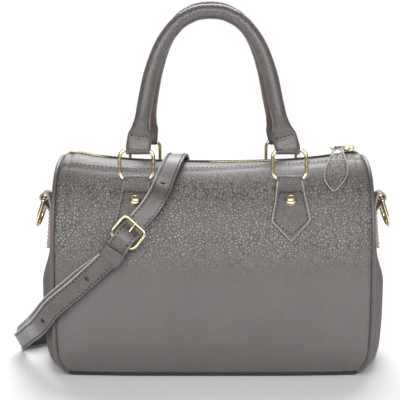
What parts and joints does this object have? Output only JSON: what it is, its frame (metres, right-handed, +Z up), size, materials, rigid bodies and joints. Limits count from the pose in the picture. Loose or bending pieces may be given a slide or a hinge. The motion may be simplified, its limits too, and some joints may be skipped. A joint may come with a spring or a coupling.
{
  "type": "small leather boston bag with shoulder strap",
  "caption": "Small barrel-topped leather bag with zip, rolled handles on metal rings, end D-rings and a buckled shoulder strap laid across it.",
  "frame": {"origin": "middle of the base, on the surface that the bag stands on", "axes": "+X along the bag to its right end as seen from the front, the front faces -Y, +Z up"},
  "size_m": [0.3249, 0.1746, 0.304],
  "materials": {
    "leather": "pebbled taupe grey leather, satin",
    "gold_metal": "polished pale gold plating",
    "zip_cloth": "dark taupe woven zip tape"
  },
  "bodies": {
    "bag": {"front_panel": "leather", "back_panel": "leather", "gusset_left": "leather", "gusset_right": "leather", "piping_left": "leather", "piping_right": "leather", "base_panel": "leather", "zip_tape": "zip_cloth", "zip_teeth": "gold_metal", "zip_slider": "gold_metal", "zip_pull_loop": "gold_metal", "pull_leaf": "leather", "pull_stud": "gold_metal", "ring_front_left": "gold_metal", "tab_front_left": "leather", "rivet_front_left": "gold_metal", "ring_front_right": "gold_metal", "tab_front_right": "leather", "rivet_front_right": "gold_metal", "ring_back_left": "gold_metal", "tab_back_left": "leather", "rivet_back_left": "gold_metal", "ring_back_right": "gold_metal", "tab_back_right": "leather", "rivet_back_right": "gold_metal", "handle_front": "leather", "handle_back": "leather", "d_tab_left": "leather", "d_tab_right": "leather", "strap_long": "leather", "strap_short": "leather", "buckle_frame": "gold_metal", "buckle_prong": "gold_metal", "strap_keeper": "leather", "strap_hook_long": "gold_metal", "strap_hook_short": "gold_metal"},
    "ring_left": {"d_ring_left": "gold_metal"},
    "ring_right": {"d_ring_right": "gold_metal"}
  },
  "joints": [
    {"name": "d_ring_left_swing", "type": "hinge", "parent": "bag", "child": "ring_left", "pos_m": [-0.1426, 0, 0.1372], "axis": [0, 1, 0], "range_deg": [-10, 160]},
    {"name": "d_ring_right_swing", "type": "hinge", "parent": "bag", "child": "ring_right", "pos_m": [0.1426, 0, 0.1372], "axis": [0, -1, 0], "range_deg": [-10, 160]}
  ]
}
